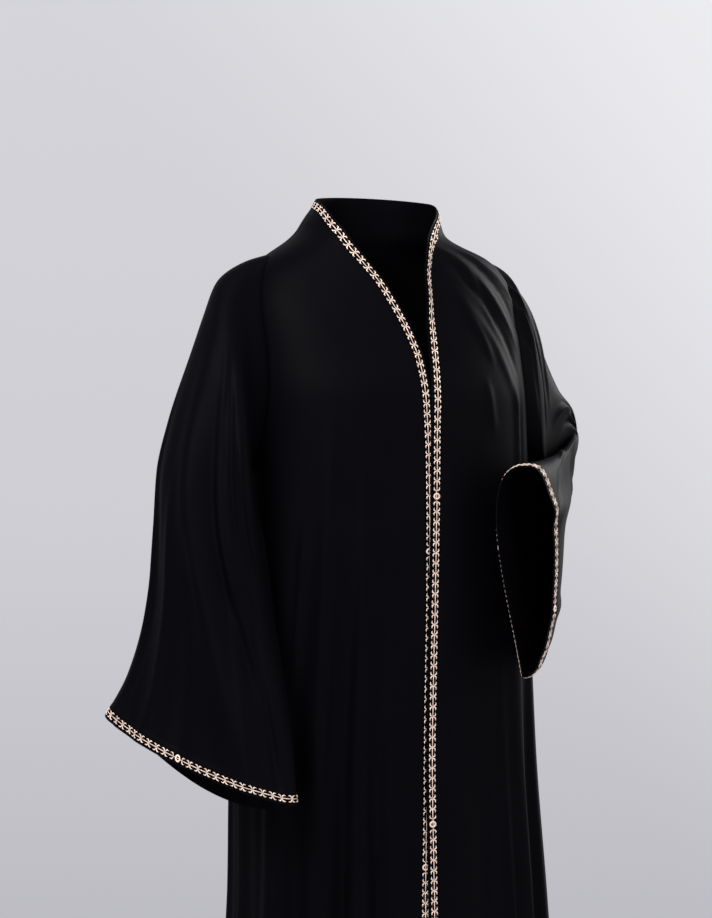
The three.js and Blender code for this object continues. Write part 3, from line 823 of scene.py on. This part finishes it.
def along_lane(lane, turned):
    """The lane as a function: how far along, how far across and how high above the cloth."""
    middle = lane[:, 1]
    distance = np.concatenate([[0], np.cumsum(length_of(np.diff(middle, axis=0))[:, 0])])
    across = unit(lane[:, 2] - lane[:, 0])
    normals = unit(np.cross(across, np.gradient(middle, axis=0))) * (-1 if turned else 1)

    def place(along, side, height):
        share = side / BRAID_WIDTH + 0.5
        weights = (
            2 * (share - 0.5) * (share - 1),
            4 * share * (1 - share),
            2 * share * (share - 0.5),
        )
        point = 0
        for run, weight in enumerate(weights):
            at = [np.interp(along, distance, lane[:, run, axis]) for axis in range(3)]
            point = point + np.stack(at, -1) * weight[..., None]
        normal = np.stack([np.interp(along, distance, normals[:, axis]) for axis in range(3)], -1)
        return point + unit(normal) * (height + BRAID_LIFT)[..., None]

    return place, distance[-1]


def shape_of(obj):
    """The points in millimetres and the faces of a stitch, whose object is then cleared away."""
    points = np.array([vertex.co[:] for vertex in obj.data.vertices]) / METRE
    faces = [list(polygon.vertices) for polygon in obj.data.polygons]
    bpy.data.objects.remove(obj, do_unlink=True)
    return points, faces


def leaf_stitch():
    """One satin leaf, drawn out ring by ring from the flower's heart to its tip."""
    bpy.ops.object.select_all(action="DESELECT")
    bpy.ops.mesh.primitive_circle_add(vertices=7, radius=0.5 * METRE, fill_type="NGON",
                                      location=(0, 0, 0), rotation=(math.pi / 2, 0, math.radians(-52)))
    leaf = bpy.context.object
    bpy.ops.object.transform_apply(location=True, rotation=True, scale=True)
    bpy.ops.object.mode_set(mode="EDIT")
    bpy.ops.mesh.select_all(action="SELECT")
    heart = np.array([0.35, 0.3, 0.0])
    rings = ((1.8, 0.8, 1.5), (3.3, 1.5, 1.35), (4.2, 2.9, 1.1), (4.3, 4.4, 1.0), (3.8, 5.6, 0.6))
    bpy.ops.transform.translate(value=tuple(heart * METRE))
    for x, y, growth in rings:
        step = np.array([x, y, 0.0]) - heart
        heart = heart + step
        bpy.ops.mesh.extrude_region_move(TRANSFORM_OT_translate={"value": tuple(step * METRE)})
        bpy.ops.transform.resize(value=(growth, growth, growth), center_override=tuple(heart * METRE))
    bpy.ops.mesh.select_all(action="SELECT")
    bpy.ops.mesh.normals_make_consistent(inside=False)
    bpy.ops.object.mode_set(mode="OBJECT")
    points, faces = shape_of(leaf)
    points[:, 2] *= 0.62
    return points, faces


def bar_stitch():
    """The bar of thread along the lane, from heart to heart."""
    bpy.ops.object.select_all(action="DESELECT")
    bpy.ops.mesh.primitive_cylinder_add(vertices=6, radius=0.62 * METRE, location=(0, 0, 0),
                                        depth=FLOWER_PITCH * 0.97 * METRE,
                                        rotation=(math.pi / 2, 0, 0))
    bar = bpy.context.object
    bpy.ops.object.transform_apply(location=True, rotation=True, scale=True)
    bpy.ops.object.mode_set(mode="EDIT")
    bpy.ops.mesh.select_all(action="SELECT")
    bpy.ops.mesh.subdivide(number_cuts=1)
    bpy.ops.mesh.select_all(action="SELECT")
    bpy.ops.transform.resize(value=(1, 1, 0.7))
    bpy.ops.object.mode_set(mode="OBJECT")
    return shape_of(bar)


def eyelet_stitch():
    """A ring of thread with a bar across it."""
    bpy.ops.object.select_all(action="DESELECT")
    bpy.ops.mesh.primitive_torus_add(major_segments=16, minor_segments=6, location=(0, 0, 0),
                                     major_radius=3.7 * METRE, minor_radius=1.35 * METRE)
    ring = bpy.context.object
    bpy.ops.object.mode_set(mode="EDIT")
    bpy.ops.mesh.select_all(action="SELECT")
    bpy.ops.transform.resize(value=(1.06, 0.94, 0.6))
    bpy.ops.object.mode_set(mode="OBJECT")
    return shape_of(ring)


leaf, bar, eyelet = leaf_stitch(), bar_stitch(), eyelet_stitch()


def flower_stitches(ways):
    """The leaves of a flower, ahead of its heart and behind it, and the bar to the next flower."""
    stitches = []
    points, faces = leaf
    for x, y in [(x, y) for y in ways for x in (1, -1)]:
        turned = [face[::-1] for face in faces] if x * y < 0 else faces
        stitches.append((points * (x, y, 1), turned))
    stitches.append((bar[0] + (0, FLOWER_PITCH / 2, 0.25), bar[1]))
    return stitches


def embroider(name, lane, turned, eyelets=(), closed=False):
    """One line of embroidery on its narrow tape, as one piece."""
    place, length = along_lane(lane, turned)
    count = round(length / FLOWER_PITCH)
    pitch = length / count
    chance = np.random.default_rng(len(name) + count)
    points, faces, tones = [], [], []
    total = 0
    for number in range(count):
        middle = pitch * (number + 0.5)
        ahead = [] if number in eyelets else [1]
        behind = [] if number - 1 in eyelets else [-1]
        stitches = flower_stitches(ahead + behind)
        if number in eyelets:
            stitches.append((eyelet[0] + (0, FLOWER_PITCH / 2, 0.2), eyelet[1]))
        for shape, shape_faces in stitches:
            wobble = chance.normal(0, STITCH_WOBBLE, 3)
            shape = shape * (1, pitch / FLOWER_PITCH, 1) + wobble * (1, 1, 0.3)
            along = middle + shape[:, 1]
            along = along % length if closed else np.clip(along, LINE_END, length - LINE_END)
            points.append(place(along, shape[:, 0], np.maximum(shape[:, 2] + STITCH_RISE, 0)))
            faces += [[corner + total for corner in face] for face in shape_faces]
            tones.append(np.full(len(shape), chance.uniform(0, 1)))
            total += len(shape)
    threads = mesh_object(name, np.concatenate(points), faces)
    tone = threads.data.attributes.new("tone", "FLOAT", "POINT")
    tone.data.foreach_set("value", np.concatenate(tones))
    only(threads)
    bpy.ops.object.shade_smooth()
    tape = tape_under(name + "_tape", place, length, turned, closed)
    return threads, tape


def tape_under(name, place, length, turned, closed):
    """The narrow black tape that carries the embroidery."""
    rows = round(length / TAPE_STEP)
    along = np.linspace(0, length, rows + 1)[: rows if closed else rows + 1]
    across = np.linspace(-BRAID_WIDTH / 2, BRAID_WIDTH / 2, TAPE_COLUMNS)
    grid = place(along[:, None] + 0 * across, across + 0 * along[:, None],
                 np.full((len(along), TAPE_COLUMNS), TAPE_LIFT))
    faces = quads_of(len(along), TAPE_COLUMNS, False, not turned)
    if closed:
        last = (len(along) - 1) * TAPE_COLUMNS
        for column in range(TAPE_COLUMNS - 1):
            quad = [last + column, last + column + 1, column + 1, column]
            faces = np.vstack([faces, [quad if turned else quad[::-1]]])
    tape = mesh_object(name, grid.reshape(-1, 3), faces)
    thicken(tape, TAPE_THICKNESS)
    return tape


# ---- Finishes -------------------------------------------------------------------------------------------


class Socket:
    """A node's output, with arithmetic that adds Math nodes."""

    def __init__(self, finish, output):
        self.finish, self.output = finish, output

    def _math(self, operation, *values):
        return self.finish.node("ShaderNodeMath", {"operation": operation}, dict(enumerate(values)))

    def __add__(self, other):
        return self._math("ADD", self, other)

    def __radd__(self, other):
        return self._math("ADD", other, self)

    def __mul__(self, other):
        return self._math("MULTIPLY", self, other)

    def __rmul__(self, other):
        return self._math("MULTIPLY", other, self)


class Nodes:
    """The nodes of one material, or of the studio's light."""

    def __init__(self, tree):
        self.nodes, self.links = tree.nodes, tree.links

    def node(self, kind, settings=None, inputs=None, output=0):
        made = self.nodes.new(kind)
        for name, value in (settings or {}).items():
            if name == "stops":
                for stop, (position, color) in zip(self._stops(made, len(value)), value):
                    stop.position, stop.color = position, (*color, 1)
            else:
                setattr(made, name, value)
        for socket, value in (inputs or {}).items():
            self.feed(made.inputs[socket], value)
        return Socket(self, made.outputs[output])

    @staticmethod
    def _stops(ramp, count):
        elements = ramp.color_ramp.elements
        while len(elements) < count:
            elements.new(1)
        return elements

    def feed(self, socket, value):
        if isinstance(value, Socket):
            self.links.new(value.output, socket)
        else:
            socket.default_value = value

    def place(self):
        return self.node("ShaderNodeTexCoord", output="Object")

    def noise(self, where, scale, detail):
        return self.node("ShaderNodeTexNoise", {}, {"Vector": where, "Scale": scale, "Detail": detail},
                         "Fac")

    def stretched(self, where, scale):
        return self.node("ShaderNodeMapping", {}, {"Vector": where, "Scale": scale})

    def between(self, share, first, second):
        mixed = self.node("ShaderNodeMix", {"data_type": "RGBA"}, {"Factor": share}, 2)
        mixing = mixed.output.node
        for socket, value in ((6, first), (7, second)):
            self.feed(mixing.inputs[socket], value if isinstance(value, Socket) else (*value, 1))
        return mixed


class Finish(Nodes):
    """A material under one Principled shader."""

    def __init__(self, name, **settings):
        self.material = bpy.data.materials.new(name)
        self.material.use_nodes = True
        super().__init__(self.material.node_tree)
        self.shader = self.nodes["Principled BSDF"]
        for socket, value in settings.items():
            self.shader.inputs[socket.replace("_", " ")].default_value = value

    def bump(self, height, distance, strength=1.0):
        return self.node("ShaderNodeBump", {}, {"Height": height, "Distance": distance,
                                                "Strength": strength}, "Normal")

    def shade(self, **values):
        for socket, value in values.items():
            self.feed(self.shader.inputs[socket.replace("_", " ")], value)
        return self.material


def crepe():
    """Matt black crepe: a pebbled grain of tightly twisted yarn, a faint bloom and slight wear."""
    cloth = Finish("black crepe", Sheen_Weight=0.0015, Sheen_Roughness=0.4, Specular_IOR_Level=0.014)
    cloth.shader.inputs["Sheen Tint"].default_value = (0.86, 0.88, 1.0, 1)
    where = cloth.place()
    pebbles = cloth.noise(cloth.stretched(where, (1.0, 1.0, 0.6)), 1500, 2)
    slubs = cloth.noise(cloth.stretched(where, (1.0, 1.0, 0.25)), 420, 2)
    bloom = cloth.noise(where, 9, 3)
    tone = cloth.between(pebbles * 0.55 + bloom * 0.45, (0.0008, 0.0008, 0.0013),
                         (0.0019, 0.0018, 0.0028))
    rough = 0.40 + bloom * 0.10 + pebbles * 0.08
    grain = cloth.bump(pebbles * 0.7 + slubs * 0.3, 0.00022, 0.6)
    return cloth.shade(Base_Color=tone, Roughness=rough, Normal=grain)


def tape_cloth():
    """The black tape: a close plain weave, a little duller than the crepe."""
    tape = Finish("black tape", Sheen_Weight=0.0015, Sheen_Roughness=0.4, Specular_IOR_Level=0.012)
    where = tape.place()
    weave = tape.noise(where, 1900, 1)
    tone = tape.between(weave, (0.0007, 0.0007, 0.001), (0.0016, 0.0015, 0.0022))
    return tape.shade(Base_Color=tone, Roughness=0.62 + weave * 0.12, Normal=tape.bump(weave, 0.0002, 0.5))


def thread():
    """Champagne embroidery thread: silky, a little uneven from stitch to stitch."""
    silk = Finish("champagne thread", Specular_IOR_Level=0.55, Sheen_Weight=0.12, Sheen_Roughness=0.3)
    where = silk.place()
    tone = silk.node("ShaderNodeAttribute", {"attribute_name": "tone"}, output="Fac")
    strands = silk.noise(silk.stretched(where, (2.2, 2.2, 0.9)), 1300, 2)
    shade = silk.between(tone * 0.45 + strands * 0.55, (0.46, 0.33, 0.26), (0.80, 0.64, 0.53))
    return silk.shade(Base_Color=shade, Roughness=0.32 + strands * 0.14, Metallic=0.06 + tone * 0.08,
                      Normal=silk.bump(strands, 0.00025, 0.7))


def floor_paper(color):
    """The plain studio paper of the floor."""
    sheet = Finish("floor paper", Specular_IOR_Level=0.2)
    mottle = sheet.noise(sheet.place(), 1.4, 2)
    tone = sheet.between(mottle, tuple(value * 0.985 for value in color), color)
    return sheet.shade(Base_Color=tone, Roughness=0.85 + mottle * 0.1)


# ---- Studio ---------------------------------------------------------------------------------------------

VIEW_AZIMUTH = -23
VIEW_DISTANCE = 4.5
VIEW_HEIGHT = -0.278
VIEW_ASIDE = -0.030
PICTURE_ROWS = 918
METRES_PER_ROW = 0.00142
SENSOR_HEIGHT = 36
FLOOR_Z = -1.48
BACKDROP_TONES = (
    (0.0, (0.49, 0.49, 0.53)),
    (0.46, (0.62, 0.615, 0.655)),
    (1.0, (0.66, 0.66, 0.70)),
)


def turned_place(azimuth, distance, aside, height):
    """A place round the garment: 0 is in front of it, and a positive azimuth is to its left."""
    turn = math.radians(azimuth)
    back = (math.sin(turn), -math.cos(turn))
    right = (math.cos(turn), math.sin(turn))
    return tuple(back[i] * distance + right[i] * aside for i in (0, 1)) + (height,)


def set_camera():
    """A level camera at the height of the breast, a little to the garment's right."""
    data = bpy.data.cameras.new("camera")
    data.sensor_fit = "VERTICAL"
    data.sensor_height = SENSOR_HEIGHT
    data.lens = SENSOR_HEIGHT * VIEW_DISTANCE / (PICTURE_ROWS * METRES_PER_ROW)
    bpy.context.scene.view_settings.view_transform = "Standard"
    data.clip_end = 60
    camera = bpy.data.objects.new("camera", data)
    camera.location = turned_place(VIEW_AZIMUTH, VIEW_DISTANCE, VIEW_ASIDE, VIEW_HEIGHT)
    camera.rotation_euler = (math.radians(90), 0, math.radians(VIEW_AZIMUTH))
    bpy.context.scene.collection.objects.link(camera)
    bpy.context.scene.camera = camera


def softbox(name, azimuth, distance, height, size, power, aim=(0, 0, -0.4)):
    """A square lamp that faces the garment."""
    data = bpy.data.lights.new(name, "AREA")
    data.size, data.energy = size, power
    lamp = bpy.data.objects.new(name, data)
    lamp.location = turned_place(azimuth, distance, 0, height)
    facing = Vector(aim) - lamp.location
    lamp.rotation_euler = facing.to_track_quat("-Z", "Y").to_euler()
    bpy.context.scene.collection.objects.link(lamp)


def build_studio():
    """A pale floor, a backdrop that brightens to the right, and soft lamps."""
    bpy.ops.object.select_all(action="DESELECT")
    bpy.ops.mesh.primitive_circle_add(vertices=96, radius=3.2, fill_type="NGON", location=(0, 0, FLOOR_Z))
    floor = bpy.context.object
    floor.name = "studio_floor"
    floor.data.materials.append(floor_paper((0.62, 0.62, 0.67)))
    floor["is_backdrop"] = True
    light_the_backdrop()
    softbox("key", -52, 2.5, 1.1, 1.1, 82, aim=(0, 0, -0.2))
    softbox("top", -12, 1.6, 2.2, 1.2, 34, aim=(0, 0, -0.2))
    softbox("rim", 108, 2.6, 0.8, 1.2, 60)
    softbox("fill", 30, 3.8, 0.4, 1.6, 22)


def light_the_backdrop():
    """The backdrop: lavender grey, darker at the foot and palest at the upper right."""
    world = bpy.data.worlds.new("studio")
    bpy.context.scene.world = world
    world.use_nodes = True
    sky = Nodes(world.node_tree)
    where = sky.node("ShaderNodeTexCoord", output="Generated")
    rise = sky.node("ShaderNodeSeparateXYZ", {}, {0: where}, 2)
    height = sky.node("ShaderNodeMapRange", {}, {0: rise, 1: -0.16, 2: 0.14})
    foot_to_head = sky.node("ShaderNodeValToRGB", {"stops": BACKDROP_TONES}, {"Fac": height})
    corner = (0.76, -0.32, 0.60)
    toward = sky.node("ShaderNodeVectorMath", {"operation": "DOT_PRODUCT"}, {0: where, 1: corner}, 1)
    glow = sky.node("ShaderNodeMapRange", {"interpolation_type": "SMOOTHSTEP"},
                    {0: toward, 1: 0.0, 2: 0.215})
    tone = sky.between(glow, foot_to_head, (0.86, 0.86, 0.885))
    background = sky.nodes["Background"]
    sky.feed(background.inputs["Color"], tone)
    background.inputs["Strength"].default_value = 1.0


# ---- The abaya ------------------------------------------------------------------------------------------

set_camera()
build_studio()

black_crepe, black_tape, champagne = crepe(), tape_cloth(), thread()

panels = {
    "back": sew("back_cloth", back_grid(), False),
    "front_right": sew("front_right_cloth", front_grid("right"), True),
    "front_left": sew("front_left_cloth", front_grid("left"), False),
    "sleeve_right": sew("sleeve_right_cloth", sleeve_grid("right"), False, True),
    "sleeve_left": sew("sleeve_left_cloth", sleeve_grid("left"), True, True),
}
# What each piece was cut to before it was sewn: its width and length, all round on a sleeve, and its
# area, in metres.
CUTS = {
    "back": ((0.78, 1.61), 0.89),
    "front_right": ((0.41, 1.60), 0.46),
    "front_left": ((0.41, 1.60), 0.45),
    "sleeve_right": ((0.72, 0.72), 0.32),
    "sleeve_left": ((0.71, 0.66), 0.26),
}
LINES_ON = {
    "back": "braid_neck_back",
    "front_right": "braid_front_right",
    "front_left": "braid_front_left",
    "sleeve_right": "braid_cuff_right",
    "sleeve_left": "braid_cuff_left",
}
for node, piece in panels.items():
    piece.data.materials.append(black_crepe)
    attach(piece, "root")
    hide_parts(node)

lines = {
    "braid_front_right": embroider("front_right_embroidery", front_lane("right"), True,
                                   FRONT_EYELETS["right"]),
    "braid_front_left": embroider("front_left_embroidery", front_lane("left"), False,
                                  FRONT_EYELETS["left"]),
    "braid_neck_back": embroider("neck_embroidery", neck_lane(), False),
    "braid_cuff_right": embroider("cuff_right_embroidery", cuff_lane("right"), False,
                                  CUFF_EYELETS, closed=True),
    "braid_cuff_left": embroider("cuff_left_embroidery", cuff_lane("left"), True,
                                 CUFF_EYELETS, closed=True),
}
for node, (threads, tape) in lines.items():
    threads.data.materials.append(champagne)
    tape.data.materials.append(black_tape)
    for piece in (threads, tape):
        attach(piece, "root")
    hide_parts(node)

for node, piece in panels.items():
    flat, area = CUTS[node]
    list(lines[LINES_ON[node]])

boxes = {"cad": cad_box, "visual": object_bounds()}
{name: [list(corner) for corner in box] for name, box in boxes.items()}
